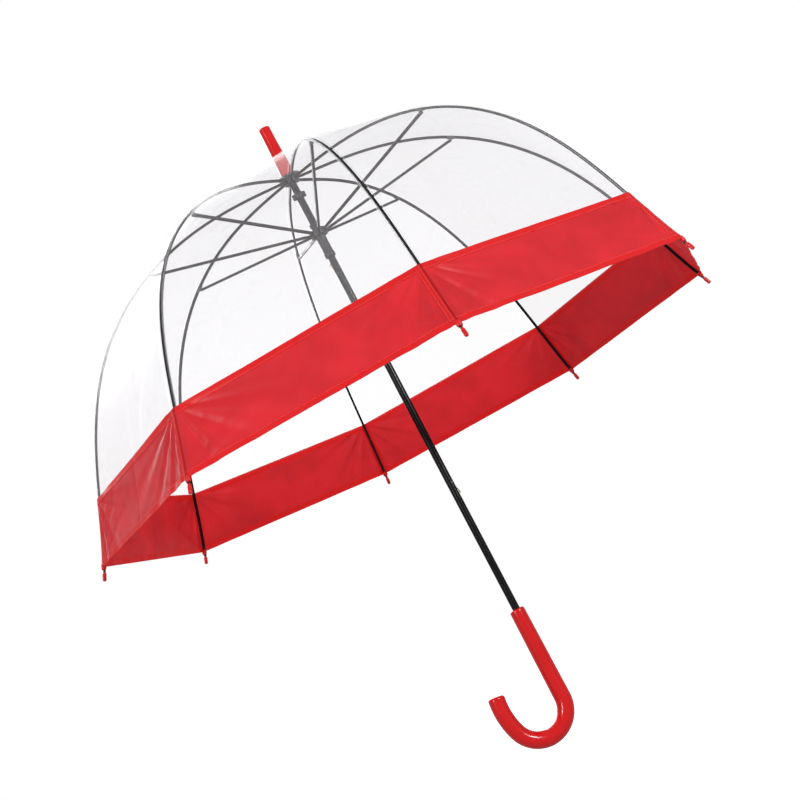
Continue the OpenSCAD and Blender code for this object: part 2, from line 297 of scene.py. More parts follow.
def outward_shift(gore, share, width, part):
    """How far a panel stands out from the plain shape. part goes from 0 at one rib to 1 at the next."""
    canopy = canopy_settings()
    ripple_height = 0.00032
    crease_depth = 0.0003
    crease_width = 0.004
    start = border_start_share()
    middle = np.clip((share - film_start_share()) / (start - film_start_share()), 0, 1)
    sag = -canopy.film_sag * np.sin(np.pi * middle) ** 2 * np.sin(np.pi * part) ** 2
    waves = ripple_height * ripple(gore, share, part) * fade(share / 0.25)
    below = (1 - share) * canopy.rib_length
    above = np.abs(share - start) * canopy.rib_length
    in_border = fade((share - start + 0.05) / 0.06)
    from_edge = 0.2 * fan(gore, below, width, part)
    from_top = 0.65 * fan(gore + 3, above, width, part)
    creases = canopy.wrinkle * (from_edge + from_top)
    crease_line = -crease_depth * np.exp(-((part - 0.5) * width / crease_width) ** 2) * in_border
    return sag + waves + creases * in_border + crease_line


def panel_point(rib, share, across):
    """Points of the canopy's outer face; across is measured from the rib's line, positive anticlockwise."""
    radius, height, slope = canopy_line(share)
    half = radius * math.sin(HALF_TURN)
    side = np.where(across >= 0, 1.0, -1.0)
    away = np.abs(across)
    rib_rounding = np.minimum(0.0015, 0.12 * half)
    round_off = rib_rounding * np.clip(1 - (away / half) ** 2, 0, 1) ** 2
    drawn_in = np.sqrt(away ** 2 + round_off ** 2) * math.sin(HALF_TURN)
    gore = np.where(across >= 0, rib, (rib - 1) % RIBS)
    part = np.where(across >= 0, away, 2 * half - away) / (2 * half)
    shift = outward_shift(gore, share, 2 * half, part)
    middle_slope = np.arctan2(np.tan(slope), math.cos(HALF_TURN))
    x = radius - drawn_in + shift * np.sin(middle_slope) * math.cos(HALF_TURN)
    y = side * (away * math.cos(HALF_TURN) + shift * np.sin(middle_slope) * math.sin(HALF_TURN))
    z = height + shift * np.cos(middle_slope)
    turn = rib * 2 * HALF_TURN
    return np.stack([
        x * math.cos(turn) - y * math.sin(turn),
        x * math.sin(turn) + y * math.cos(turn),
        z], axis=-1)


def panel_normal(rib, share, across):
    near = 0.0004
    length = canopy_settings().rib_length
    down = panel_point(rib, share + near / length, across) - panel_point(rib, share - near / length, across)
    over = panel_point(rib, share, across + near) - panel_point(rib, share, across - near)
    normal = np.cross(down, over)
    return normal / np.linalg.norm(normal, axis=-1, keepdims=True)


def half_width(share):
    return canopy_line(share)[0] * math.sin(HALF_TURN)


def grid(shares, near, spread):
    """Shares and distances across for a panel: fixed distances near the rib, then evenly spread ones."""
    half = half_width(np.array(shares))[:, None]
    near = np.array(near)[None, :]
    scale = np.minimum(1, 0.5 * half / near.max())
    fixed = near * scale
    rest = np.linspace(0, 1, spread + 1)[None, 1:]
    one_side = np.concatenate([fixed, fixed[:, -1:] + (half - fixed[:, -1:]) * rest], axis=1)
    across = np.concatenate([-one_side[:, ::-1], np.zeros_like(half), one_side], axis=1)
    return np.broadcast_to(np.array(shares)[:, None], across.shape), across


def new_object(name, points, faces):
    mesh = bpy.data.meshes.new(name)
    mesh.from_pydata([tuple(p) for p in points], [], faces)
    mesh.validate()
    piece = bpy.data.objects.new(name, mesh)
    bpy.context.scene.collection.objects.link(piece)
    return piece


def choose(piece):
    bpy.ops.object.select_all(action="DESELECT")
    piece.select_set(True)
    bpy.context.view_layer.objects.active = piece


def smooth(piece, degrees=35):
    choose(piece)
    bpy.ops.object.shade_smooth_by_angle(angle=math.radians(degrees))


def sheet_shell(name, outer, inner, masks, uv):
    """A closed thin sheet between two grids of points, with named masks for its materials."""
    rows, columns = outer.shape[:2]
    count = rows * columns
    index = np.arange(count).reshape(rows, columns)
    corners = (index[:-1, :-1], index[1:, :-1], index[1:, 1:], index[:-1, 1:])
    face_up = np.stack([c.ravel() for c in corners], axis=1)
    faces = [tuple(int(v) for v in f) for f in face_up]
    faces += [tuple(int(v) + count for v in f[::-1]) for f in face_up]
    rim = np.concatenate([index[:, 0], index[-1, 1:], index[-2::-1, -1], index[0, -2:0:-1]])
    for a, b in zip(rim, np.roll(rim, -1)):
        faces.append((int(b), int(a), int(a) + count, int(b) + count))
    piece = new_object(name, np.concatenate([outer.reshape(-1, 3), inner.reshape(-1, 3)]), faces)
    for mask_name, values in masks.items():
        mask = piece.data.attributes.new(mask_name, "FLOAT", "POINT")
        mask.data.foreach_set("value", np.tile(values.ravel(), 2).astype(np.float32))
    layer = piece.data.uv_layers.new(name="panel")
    flat = np.tile(uv.reshape(-1, 2), (2, 1))
    corner_vertex = np.empty(len(piece.data.loops), np.int32)
    piece.data.loops.foreach_get("vertex_index", corner_vertex)
    layer.data.foreach_set("uv", flat[corner_vertex].astype(np.float32).ravel())
    smooth(piece)
    return piece


def follow_rib(piece, rib):
    """Hangs the piece on its own rib's body, so it turns with the rib, and gives it a mesh of its own."""
    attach(piece, f"rib_{rib + 1}")
    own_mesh(piece)


# ---------------------------------------------------------------- materials

def new_material(name, colour, roughness, metallic=0.0, specular=0.5):
    material = bpy.data.materials.new(name)
    material.use_nodes = True
    shader = material.node_tree.nodes["Principled BSDF"]
    shader.inputs["Base Color"].default_value = colour
    shader.inputs["Roughness"].default_value = roughness
    shader.inputs["Metallic"].default_value = metallic
    shader.inputs["Specular IOR Level"].default_value = specular
    return material, shader


def add_node(material, kind, **values):
    node = material.node_tree.nodes.new(kind)
    for name, value in values.items():
        if name in node.inputs:
            node.inputs[name].default_value = value
        else:
            setattr(node, name, value)
    return node


def link(material, out_socket, in_socket):
    material.node_tree.links.new(out_socket, in_socket)


def object_noise(material, scale, detail=3.0, stretch=(1, 1, 1)):
    """Noise over the piece's own coordinates."""
    coordinates = add_node(material, "ShaderNodeTexCoord")
    mapping = add_node(material, "ShaderNodeMapping")
    mapping.inputs["Scale"].default_value = stretch
    noise = add_node(material, "ShaderNodeTexNoise", Scale=scale, Detail=detail)
    link(material, coordinates.outputs["Object"], mapping.inputs["Vector"])
    link(material, mapping.outputs["Vector"], noise.inputs["Vector"])
    return noise


def vary(material, noise, socket, low, high):
    """Drives a value socket between low and high by the noise."""
    spread = add_node(material, "ShaderNodeMapRange")
    spread.inputs["From Min"].default_value = 0.3
    spread.inputs["From Max"].default_value = 0.7
    spread.inputs["To Min"].default_value = low
    spread.inputs["To Max"].default_value = high
    link(material, noise.outputs["Fac"], spread.inputs["Value"])
    link(material, spread.outputs["Result"], socket)


def tint(material, noise, socket, first, second):
    """Mixes two colours by the noise."""
    ramp = add_node(material, "ShaderNodeValToRGB")
    ramp.color_ramp.elements[0].position = 0.35
    ramp.color_ramp.elements[1].position = 0.65
    ramp.color_ramp.elements[0].color = first
    ramp.color_ramp.elements[1].color = second
    link(material, noise.outputs["Fac"], ramp.inputs["Fac"])
    link(material, ramp.outputs["Color"], socket)


def bump(material, noise, shader, distance, strength=0.5):
    node = add_node(material, "ShaderNodeBump")
    node.inputs["Strength"].default_value = strength
    node.inputs["Distance"].default_value = distance
    link(material, noise.outputs["Fac"], node.inputs["Height"])
    link(material, node.outputs["Normal"], shader.inputs["Normal"])


def times_plus(material, value, factor, more):
    """The socket of value times factor plus more, which is a number or another socket."""
    node = add_node(material, "ShaderNodeMath", operation="MULTIPLY_ADD")
    node.inputs[1].default_value = factor
    link(material, value, node.inputs[0])
    if isinstance(more, (int, float)):
        node.inputs[2].default_value = more
    else:
        link(material, more, node.inputs[2])
    return node.outputs["Value"]


def shade(colour, factor):
    return tuple(c * factor for c in colour[:3]) + (1,)


def red_plastic(name, roughness=0.14):
    """Glossy moulded plastic with a faint unevenness and fine handling marks."""
    colour = handle_settings().colour
    material, shader = new_material(name, colour, roughness, specular=0.32)
    slow = object_noise(material, 14, 2)
    vary(material, slow, shader.inputs["Roughness"], roughness, roughness + 0.07)
    bump(material, slow, shader, 0.00008, 0.06)
    patches = object_noise(material, 22, 4)
    tint(material, patches, shader.inputs["Base Color"], shade(colour, 0.95), shade(colour, 1.04))
    shader.inputs["Subsurface Weight"].default_value = 0.06
    shader.inputs["Subsurface Radius"].default_value = (0.006, 0.001, 0.001)
    return material


def painted_steel(name, colour, roughness, grain=(1, 1, 1), specular=0.14):
    """Stove paint on steel: slight orange peel, dust and rubbed patches."""
    material, shader = new_material(name, colour, roughness, specular=specular)
    peel = object_noise(material, 400, 2, grain)
    bump(material, peel, shader, 0.00003, 0.1)
    wear = object_noise(material, 60, 6, grain)
    vary(material, wear, shader.inputs["Roughness"], roughness - 0.06, roughness + 0.14)
    tint(material, wear, shader.inputs["Base Color"], colour, shade(colour, 1.7))
    return material


def bare_steel(name, colour, roughness):
    material, shader = new_material(name, colour, roughness, metallic=1.0)
    scratches = object_noise(material, 400, 5, (1, 1, 0.15))
    vary(material, scratches, shader.inputs["Roughness"], roughness - 0.08, roughness + 0.18)
    tint(material, scratches, shader.inputs["Base Color"], shade(colour, 0.8), shade(colour, 1.1))
    bump(material, scratches, shader, 0.00004, 0.4)
    return material


def moulded_black(name):
    colour = (0.009, 0.009, 0.010, 1)
    material, shader = new_material(name, colour, 0.36, specular=0.3)
    grain = object_noise(material, 900, 3)
    bump(material, grain, shader, 0.00008, 0.4)
    marks = object_noise(material, 130, 5)
    vary(material, marks, shader.inputs["Roughness"], 0.28, 0.5)
    tint(material, marks, shader.inputs["Base Color"], colour, shade(colour, 1.8))
    return material


def clear_film():
    """Clear film: nearly colourless, glossy at a glance, a little hazy, and more so where it is welded."""
    canopy = canopy_settings()
    material = bpy.data.materials.new("clear film")
    material.use_nodes = True
    tree = material.node_tree
    tree.nodes.remove(tree.nodes["Principled BSDF"])
    output = tree.nodes["Material Output"]
    clear = add_node(material, "ShaderNodeBsdfTransparent")
    clear.inputs["Color"].default_value = canopy.film_colour
    haze = add_node(material, "ShaderNodeBsdfTranslucent")
    haze.inputs["Color"].default_value = (0.90, 0.89, 0.91, 1)
    gloss = add_node(material, "ShaderNodeBsdfGlossy")
    gloss.inputs["Color"].default_value = (0.95, 0.95, 0.96, 1)
    waves = object_noise(material, 9, 1)
    ripples = add_node(material, "ShaderNodeBump")
    ripples.inputs["Strength"].default_value = 0.3
    ripples.inputs["Distance"].default_value = 0.001
    link(material, waves.outputs["Fac"], ripples.inputs["Height"])
    link(material, ripples.outputs["Normal"], gloss.inputs["Normal"])
    smears = object_noise(material, 45, 5)
    vary(material, smears, gloss.inputs["Roughness"], 0.16, 0.3)
    bead = add_node(material, "ShaderNodeAttribute", attribute_name="bead")
    pressed = add_node(material, "ShaderNodeAttribute", attribute_name="pressed")
    edge = add_node(material, "ShaderNodeLayerWeight", Blend=0.5)
    grazing = add_node(material, "ShaderNodeMath", operation="POWER")
    grazing.inputs[1].default_value = 4
    link(material, edge.outputs["Facing"], grazing.inputs[0])
    bead_haze = times_plus(material, bead.outputs["Fac"], 0.22, 0.046)
    haze_part = times_plus(material, grazing.outputs["Value"], 0.05, bead_haze)
    hazy = add_node(material, "ShaderNodeMixShader")
    link(material, haze_part, hazy.inputs["Fac"])
    link(material, clear.outputs["BSDF"], hazy.inputs[1])
    link(material, haze.outputs["BSDF"], hazy.inputs[2])
    shiny = add_node(material, "ShaderNodeMixShader")
    link(material, times_plus(material, grazing.outputs["Value"], 0.05, 0.03), shiny.inputs["Fac"])
    link(material, hazy.outputs["Shader"], shiny.inputs[1])
    link(material, gloss.outputs["BSDF"], shiny.inputs[2])
    both = add_node(material, "ShaderNodeMixShader")
    link(material, times_plus(material, pressed.outputs["Fac"], 0.85, 0), both.inputs["Fac"])
    link(material, shiny.outputs["Shader"], both.inputs[1])
    link(material, clear.outputs["BSDF"], both.inputs[2])
    link(material, both.outputs["Shader"], output.inputs["Surface"])
    return material


def border_sheet():
    """Coloured sheet: satin, a little translucent, brighter where a hem or seam doubles it."""
    colour = canopy_settings().border_colour
    material, shader = new_material("border sheet", colour, 0.36, specular=0.27)
    tree = material.node_tree
    doubled = add_node(material, "ShaderNodeAttribute", attribute_name="doubled")
    layers = add_node(material, "ShaderNodeMix", data_type="RGBA")
    link(material, doubled.outputs["Fac"], layers.inputs["Factor"])
    patches = object_noise(material, 18, 4)
    tint(material, patches, layers.inputs["A"], shade(colour, 0.9), shade(colour, 1.05))
    layers.inputs["B"].default_value = (colour[0] * 1.04, colour[1] * 0.6, colour[2] * 0.5, 1)
    link(material, layers.outputs["Result"], shader.inputs["Base Color"])
    creases = object_noise(material, 60, 3)
    vary(material, creases, shader.inputs["Roughness"], 0.32, 0.46)
    bump(material, creases, shader, 0.0003, 0.2)
    glow = add_node(material, "ShaderNodeBsdfTranslucent")
    link(material, layers.outputs["Result"], glow.inputs["Color"])
    part = add_node(material, "ShaderNodeMixShader")
    part.inputs["Fac"].default_value = 0.46
    link(material, shader.outputs["BSDF"], part.inputs[1])
    link(material, glow.outputs["BSDF"], part.inputs[2])
    through = add_node(material, "ShaderNodeBsdfTransparent")
    through.inputs["Color"].default_value = (0.9, 0.3, 0.3, 1)
    pressed = add_node(material, "ShaderNodeAttribute", attribute_name="pressed")
    thin = add_node(material, "ShaderNodeMixShader")
    link(material, times_plus(material, pressed.outputs["Fac"], 0.42, 0), thin.inputs["Fac"])
    link(material, part.outputs["Shader"], thin.inputs[1])
    link(material, through.outputs["BSDF"], thin.inputs[2])
    link(material, thin.outputs["Shader"], tree.nodes["Material Output"].inputs["Surface"])
    return material


def thread_material():
    colour = (0.62, 0.10, 0.11, 1)
    material, shader = new_material("thread", colour, 0.6)
    twist = object_noise(material, 2500, 2)
    bump(material, twist, shader, 0.00008, 0.6)
    tint(material, twist, shader.inputs["Base Color"], shade(colour, 0.75), shade(colour, 1.15))
    shader.inputs["Sheen Weight"].default_value = 0.3
    return material


MATERIAL_MAKERS = {
    "red plastic": lambda: red_plastic("red plastic"),
    "red tip": lambda: red_plastic("red tip", 0.2),
    "shaft paint": lambda: painted_steel("shaft paint", (0.003, 0.003, 0.004, 1), 0.2, (1, 1, 0.2), 0.15),
    "rib paint": lambda: painted_steel("rib paint", (0.006, 0.006, 0.007, 1), 0.38),
    "joint steel": lambda: painted_steel("joint steel", (0.055, 0.058, 0.063, 1), 0.36),
    "wire": lambda: bare_steel("wire", (0.55, 0.55, 0.56, 1), 0.3),
    "catch steel": lambda: bare_steel("catch steel", (0.46, 0.42, 0.36, 1), 0.34),
    "moulded black": lambda: moulded_black("moulded black"),
    "clear film": clear_film,
    "border sheet": border_sheet,
    "border cloth": lambda: red_plastic("border cloth", 0.4),
    "thread": thread_material,
}


def material_named(name):
    return bpy.data.materials.get(name) or MATERIAL_MAKERS[name]()


def finish_with(piece, material):
    piece.data.materials.clear()
    piece.data.materials.append(material_named(material))


# ---------------------------------------------------------------- turned and bent pieces

def next_ring(step, ratio, centre):
    """Draws the chosen ring out by a step and scales the new one about its centre."""
    bpy.ops.mesh.extrude_region_move(TRANSFORM_OT_translate={"value": step})
    if abs(ratio - 1) > 1e-9:
        bpy.ops.transform.resize(value=(ratio, ratio, ratio), center_override=centre)


def turned(name, rings, sides=48):
    """A piece turned about the Z axis: rings of (height, radius) one after another, closed at both ends."""
    bpy.ops.object.select_all(action="DESELECT")
    height, radius = rings[0]
    bpy.ops.mesh.primitive_circle_add(vertices=sides, radius=radius, location=(0, 0, height))
    piece = bpy.context.active_object
    piece.name = name
    piece.data.name = name
    bpy.ops.object.transform_apply()
    bpy.ops.object.mode_set(mode="EDIT")
    bpy.ops.mesh.select_all(action="SELECT")
    for new_height, new_radius in rings[1:]:
        next_ring((0, 0, new_height - height), new_radius / radius, (0, 0, new_height))
        height, radius = new_height, new_radius
    return piece


def close_ends(piece, degrees=35):
    """Fills the open rings of the piece in edit mode, turns its faces outwards and smooths it."""
    bpy.ops.mesh.edge_face_add()
    bpy.ops.mesh.select_all(action="DESELECT")
    bpy.ops.mesh.select_non_manifold(
        extend=False, use_wire=False, use_boundary=True, use_multi_face=False,
        use_non_contiguous=False, use_verts=False)
    bpy.ops.mesh.edge_face_add()
    bpy.ops.mesh.select_all(action="SELECT")
    bpy.ops.mesh.normals_make_consistent(inside=False)
    bpy.ops.object.mode_set(mode="OBJECT")
    smooth(piece, degrees)


def rounded(height, radius, edge, up, steps=6):
    """Rings of a quarter round from an outer wall to a flat end, or the other way round."""
    angles = [math.pi / 2 * i / steps for i in range(steps + 1)]
    sign = 1 if up else -1
    return [
        (height - sign * edge * (1 - math.sin(a)), radius - edge * (1 - math.cos(a))) for a in angles
    ]


class UMBRELLA_OT_handle(bpy.types.Operator):
    """Draws the crook handle out of one ring: bore, rounded top, taper, bend and free end"""
    bl_idname = "umbrella.handle"
    bl_label = "Handle"

    def execute(self, context):
        handle = handle_settings()
        shaft_low, shaft_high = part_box("shaft_tube")
        bore = (shaft_high.x - shaft_low.x) / 2 + BORE_CLEARANCE
        bore_gap = 0.0005
        taper_steps = 14
        edge_steps = 7
        top_rings = rounded(handle.top_height, handle.top_radius, handle.top_edge, up=True)
        rings = [(shaft_low.z - bore_gap, bore), (handle.top_height, bore)] + top_rings[::-1]
        start_height, start_radius = rings[-1]
        for i in range(1, taper_steps + 1):
            part = i / taper_steps
            rings.append((
                start_height + (handle.bend_height - start_height) * part,
                start_radius + (handle.radius - start_radius) * part))
        piece = turned("handle_grip", rings, sides=64)
        bend = handle.bend_angle
        bpy.ops.mesh.spin(
            steps=56, angle=bend, center=(handle.bend_radius, 0, handle.bend_height), axis=(0, 1, 0))
        bend_x = handle.bend_radius * (1 - math.cos(bend))
        bend_z = handle.bend_height - handle.bend_radius * math.sin(bend)
        centre_x = bend_x + handle.end_radius * math.cos(bend)
        centre_z = bend_z + handle.end_radius * math.sin(bend)
        bpy.ops.mesh.spin(
            steps=22, angle=handle.end_angle, center=(centre_x, 0, centre_z), axis=(0, 1, 0))
        last = bend + handle.end_angle
        x = centre_x - handle.end_radius * math.cos(last)
        z = centre_z - handle.end_radius * math.sin(last)
        ahead = (math.sin(last), -math.cos(last))
        radius = handle.radius
        gone = 0
        for i in range(1, edge_steps + 1):
            angle = math.pi / 2 * i / edge_steps
            new_radius = handle.radius - handle.end_edge * (1 - math.cos(angle))
            step = handle.end_edge * math.sin(angle) - gone
            gone += step
            centre = (x + ahead[0] * gone, 0, z + ahead[1] * gone)
            next_ring((ahead[0] * step, 0, ahead[1] * step), new_radius / radius, centre)
            radius = new_radius
        close_ends(piece)
        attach(piece, "shaft")
        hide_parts("handle")
        finish_with(piece, "red plastic")
        return {"FINISHED"}


class UMBRELLA_OT_ferrule(bpy.types.Operator):
    """Turns the long ferrule cap with its flared foot, straight end and rounded edges"""
    bl_idname = "umbrella.ferrule"
    bl_label = "Ferrule"

    straight: FloatProperty(name="Straight end", description="Length of the straight end",
                            default=0.024, unit="LENGTH")
    end_radius: FloatProperty(name="End radius", description="Radius of the straight end",
                              default=0.0077, unit="LENGTH")
    edge: FloatProperty(name="Edge", description="Rounding of the straight end", default=0.0016,
                        unit="LENGTH")

    def execute(self, context):
        low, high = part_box("ferrule")
        foot_radius = (high.x - low.x) / 2
        shaft_low, shaft_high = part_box("shaft_tube")
        bore = (shaft_high.x - shaft_low.x) / 2 + BORE_CLEARANCE
        bore_gap = 0.0005
        foot_edge = 0.0006
        foot_height = 0.002
        cone_steps = 10
        dimple = [(0.00005, 0.0035), (-0.0003, 0.0028), (-0.00035, 0.0012)]
        waist = high.z - self.straight
        cone_start = low.z + foot_height
        rings = [(shaft_high.z + bore_gap, bore), (low.z, bore)]
        rings += [(low.z, foot_radius - foot_edge), (low.z + foot_edge / 3, foot_radius - foot_edge / 3)]
        rings += [(low.z + foot_edge, foot_radius), (cone_start, foot_radius)]
        for i in range(1, cone_steps + 1):
            part = i / cone_steps
            rings.append((
                cone_start + (waist - cone_start) * part,
                foot_radius + (self.end_radius - foot_radius) * part))
        rings += [(waist + 0.0004, self.end_radius), (high.z - self.edge - 0.0001, self.end_radius)]
        rings += rounded(high.z, self.end_radius, self.edge, up=True)
        rings += [(high.z + rise, radius) for rise, radius in dimple]
        piece = turned("ferrule_cap", rings, sides=64)
        close_ends(piece, 28)
        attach(piece, "shaft")
        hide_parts("ferrule")
        finish_with(piece, "red plastic")
        return {"FINISHED"}


class UMBRELLA_OT_tips(bpy.types.Operator):
    """Sets a turned cap on the end of each rib"""
    bl_idname = "umbrella.tips"
    bl_label = "Rib tips"

    start: FloatProperty(name="Start", description="Distance of the cap from the canopy's edge",
                         default=0.0052, unit="LENGTH")
    length: FloatProperty(name="Length", description="Length of a cap", default=0.012, unit="LENGTH")
    radius: FloatProperty(name="Radius", description="Radius of a cap", default=0.0024, unit="LENGTH")

    def pocket(self, rib, radius, height, slope):
        """A small sewn pocket that holds the border's corner to the rib, between the hem and the cap."""
        rings = [(-0.004, 0.0027), (-0.004, 0.0031), (-0.002, 0.0033), (0.001, 0.0031), (0.0027, 0.0026)]
        rings += [(0.0033, 0.0023), (0.0034, 0.0017)]
        depth = RIB_LINE_DEPTH - 0.0006
        piece = turned(f"pocket_{rib + 1}", rings, sides=28)
        close_ends(piece, 60)
        turn = rib * 2 * HALF_TURN
        centre = radius - math.sin(slope) * depth
        choose(piece)
        piece.scale = (0.95, 1.12, 1)
        piece.rotation_euler = (0, math.pi / 2 + slope, turn)
        piece.location = (
            centre * math.cos(turn), centre * math.sin(turn), height - math.cos(slope) * depth)
        bpy.ops.object.transform_apply()
        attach(piece, f"rib_{rib + 1}")
        finish_with(piece, "border cloth")

    def execute(self, context):
        bore = 0.0009
        bore_depth = 0.006
        collar = 0.0017
        collar_edge = 0.0002
        nose = 0.0021
        rings = [(bore_depth, bore), (0, bore), (0, collar - collar_edge), (collar_edge, collar)]
        rings += [(0.0016, collar), (0.0019, collar + 0.0003)]
        rings += rounded(0.0021, self.radius, 0.0005, up=False, steps=3)[::-1]
        rings += rounded(self.length, self.radius, nose, up=True, steps=8)
        radius, height, slope = (float(v) for v in canopy_line(1.0))
        for rib in range(RIBS):
            piece = turned(f"tip_{rib + 1}", rings, sides=32)
            close_ends(piece, 40)
            turn = rib * 2 * HALF_TURN
            out = radius - math.sin(slope) * RIB_LINE_DEPTH + math.cos(slope) * self.start
            choose(piece)
            piece.rotation_euler = (0, math.pi / 2 + slope, turn)
            piece.location = (
                out * math.cos(turn), out * math.sin(turn),
                height - math.cos(slope) * RIB_LINE_DEPTH - math.sin(slope) * self.start)
            bpy.ops.object.transform_apply()
            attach(piece, f"rib_{rib + 1}")
            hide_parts(f"rib_tip_{rib + 1}")
            finish_with(piece, "red tip")
            self.pocket(rib, radius, height, slope)
        return {"FINISHED"}


class UMBRELLA_OT_fittings(bpy.types.Operator):
    """Gives the runner, notch, stop collar and top washer the small rounded edges of moulded parts"""
    bl_idname = "umbrella.fittings"
    bl_label = "Fittings"

    edge: FloatProperty(name="Edge", description="Rounding of the edges", default=0.0003, unit="LENGTH")

    def execute(self, context):
        merge_distance = 0.000002
        flat_angle = math.radians(0.5)
        sharp_angle = math.radians(40)
        for node in ("runner", "notch", "stop_collar", "top_washer"):
            source = frame["nodes"][node]
            body = source["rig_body"]
            piece = bpy.data.objects.new(f"{node}_body", source.data.copy())
            context.scene.collection.objects.link(piece)
            choose(piece)
            bpy.ops.object.mode_set(mode="EDIT")
            bpy.ops.mesh.select_all(action="SELECT")
            bpy.ops.mesh.remove_doubles(threshold=merge_distance)
            bpy.ops.mesh.dissolve_limited(angle_limit=flat_angle)
            bpy.ops.mesh.customdata_custom_splitnormals_clear()
            bpy.ops.object.mode_set(mode="OBJECT")
            rounding = piece.modifiers.new("rounding", "BEVEL")
            rounding.width = self.edge
            rounding.segments = 3
            rounding.limit_method = "ANGLE"
            rounding.angle_limit = sharp_angle
            rounding.use_clamp_overlap = True
            bpy.ops.object.modifier_apply(modifier="rounding")
            smooth(piece, 40)
            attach(piece, body)
            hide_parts(node)
            finish_with(piece, "moulded black")
        return {"FINISHED"}


class UMBRELLA_OT_metalwork(bpy.types.Operator):
    """Paints the shaft, ribs, stretchers and joints, and leaves the wires, pins and catches bare"""
    bl_idname = "umbrella.metalwork"
    bl_label = "Metalwork"

    def execute(self, context):
        looks = {
            "shaft_tube": "shaft paint", "catch_pins": "wire", "notch_wire": "wire", "runner_wire": "wire",
            "top_catch": "catch steel", "bottom_catch": "catch steel",
        }
        for rib in range(1, RIBS + 1):
            looks[f"rib_{rib}"] = "rib paint"
            looks[f"stretcher_{rib}"] = "rib paint"
            looks[f"rib_joint_{rib}"] = "joint steel"
        for node, look in looks.items():
            finish_with(frame["nodes"][node], look)
        return {"FINISHED"}


# ---------------------------------------------------------------- sheets

class UMBRELLA_OT_film(bpy.types.Operator):
    """Stretches a clear panel over each rib, from the washer to under the border's hem"""
    bl_idname = "umbrella.film"
    bl_label = "Clear film"

    rows: IntProperty(name="Rows", description="Rows of points along a rib", default=64, min=16)
    columns: IntProperty(name="Columns", description="Columns of points on each side", default=16, min=6)
    overlap: FloatProperty(name="Overlap", description="How far the film runs on under the border",
                           default=0.0016, unit="LENGTH")
    bead: FloatProperty(name="Bead", description="Width of a weld bead beside a rib", default=0.0011,
                        unit="LENGTH")

    def execute(self, context):
        canopy = canopy_settings()
        start = film_start_share()
        end = border_start_share() + self.overlap / canopy.rib_length
        shares = np.linspace(start ** 0.5, end ** 0.5, self.rows) ** 2
        weld = canopy.weld_width
        bead = self.bead
        bead_rise = 0.00012
        bead_side = 0.0002
        press_width = 0.0016
        press_fade = 0.0003
        near = [press_width / 2, press_width, press_width + press_fade]
        near += [weld - bead_side, weld, weld + bead, weld + bead + bead_side]
        for rib in range(RIBS):
            share, across = grid(shares, near, self.columns)
            outer = panel_point(rib, share, across)
            normal = panel_normal(rib, share, across)
            away = np.abs(across)
            pressed = 1 - fade((away - press_width) / press_fade)
            in_bead = (away > weld - bead_side / 2) & (away < weld + bead + bead_side / 2)
            beads = in_bead.astype(float)
            lifted = outer + normal * (beads * bead_rise)[..., None]
            inner = outer - normal * canopy.film_thickness
            uv = np.stack([across, share * canopy.rib_length], axis=-1)
            piece = sheet_shell(
                f"film_panel_{rib + 1}", lifted, inner, {"pressed": pressed, "bead": beads}, uv)
            follow_rib(piece, rib)
            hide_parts(f"film_{rib + 1}")
            finish_with(piece, "clear film")
        return {"FINISHED"}


def stitch(points, lift, radius, sides=6):
    """Points and faces of one stitch, a short thread that dips into the sheet at both ends."""
    heights = np.array([-0.9, 0.35, 0.75, 0.35, -0.9]) * radius
    sizes = np.array([0.45, 0.9, 1.0, 0.9, 0.45]) * radius
    along = points[-1] - points[0]
    along = along / np.linalg.norm(along)
    aside = np.cross(lift, along)
    rings = []
    for i, centre in enumerate(points):
        for j in range(sides):
            angle = 2 * math.pi * j / sides
            rings.append(
                centre + lift * heights[i] + sizes[i] * (aside * math.cos(angle) + lift * math.sin(angle)))
    faces = []
    count = len(points)
    for i in range(count - 1):
        for j in range(sides):
            a = i * sides + j
            b = i * sides + (j + 1) % sides
            faces.append((a, b, b + sides, a + sides))
    faces.append(tuple(range(sides))[::-1])
    faces.append(tuple(range((count - 1) * sides, count * sides)))
    return rings, faces


